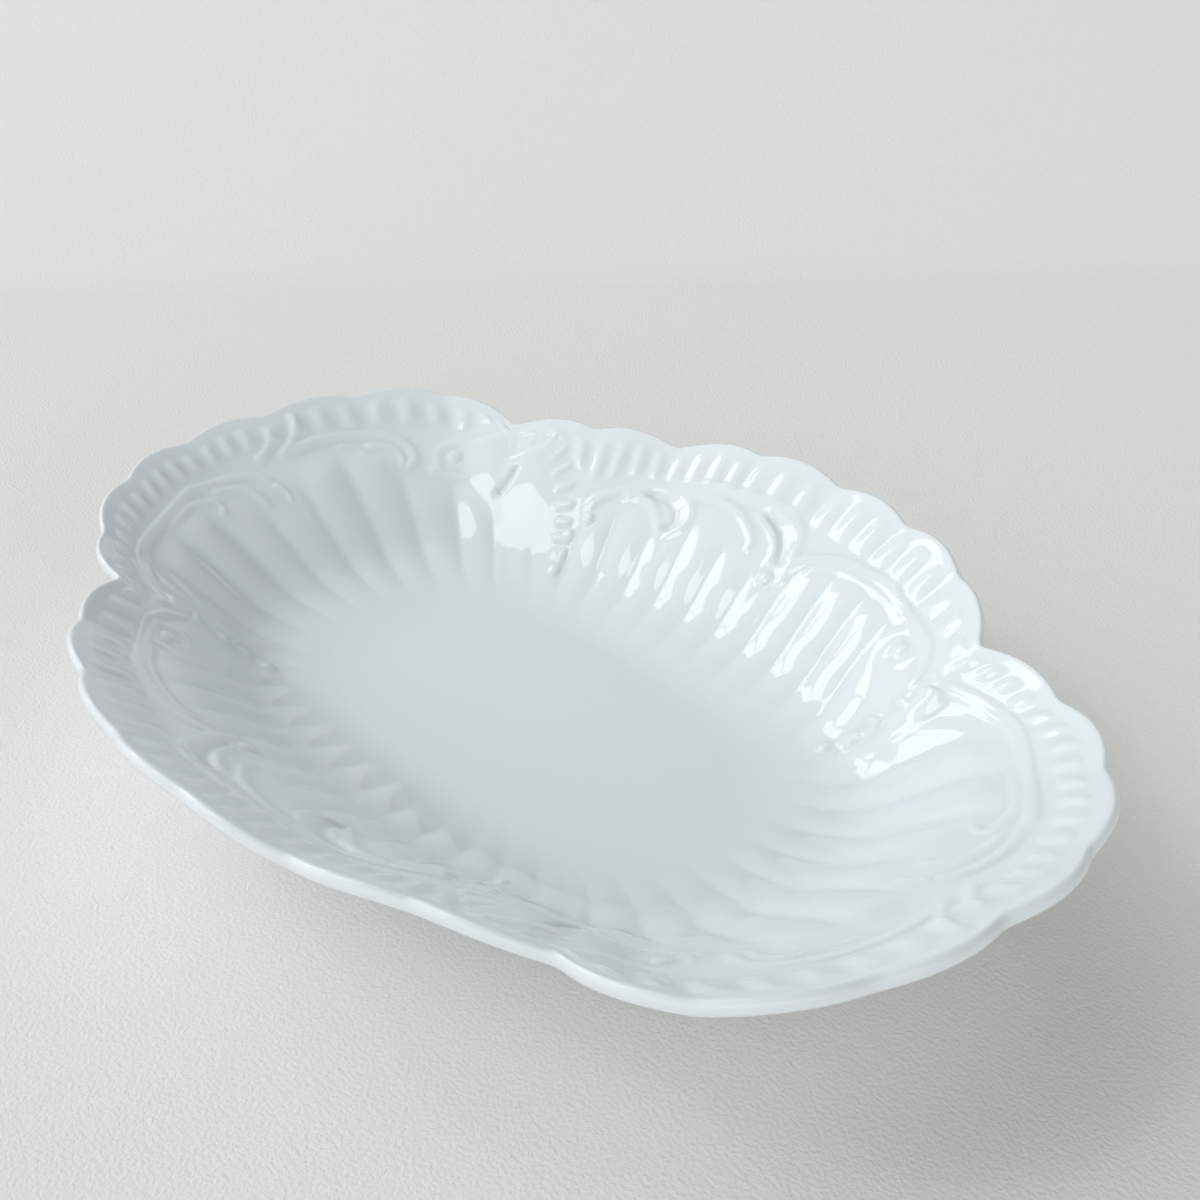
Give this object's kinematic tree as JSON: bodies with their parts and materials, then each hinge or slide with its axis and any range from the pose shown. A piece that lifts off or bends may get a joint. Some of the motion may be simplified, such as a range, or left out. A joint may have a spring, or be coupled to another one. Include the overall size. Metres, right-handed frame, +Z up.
{
  "type": "relish dish",
  "caption": "Low oval porcelain serving dish with a lobed, scalloped rim, gadrooned walls, scroll and leaf relief and a foot ring, for relishes, pickles or small hors d'oeuvres.",
  "frame": {"origin": "on the table, under the middle of the dish, where its half-turn axis meets the plane of the foot", "axes": "+Z up out of the dish, +X along its length, +Y across its width"},
  "size_m": [0.236, 0.1652, 0.04],
  "materials": {
    "white_glaze": "clear glossy glaze over cool white hard-paste porcelain",
    "foot_porcelain": "white porcelain, glazed on its sides and bare biscuit where it stands on the table"
  },
  "bodies": {
    "root": {"dish_body": "white_glaze", "foot_ring": "foot_porcelain"}
  },
  "joints": []
}
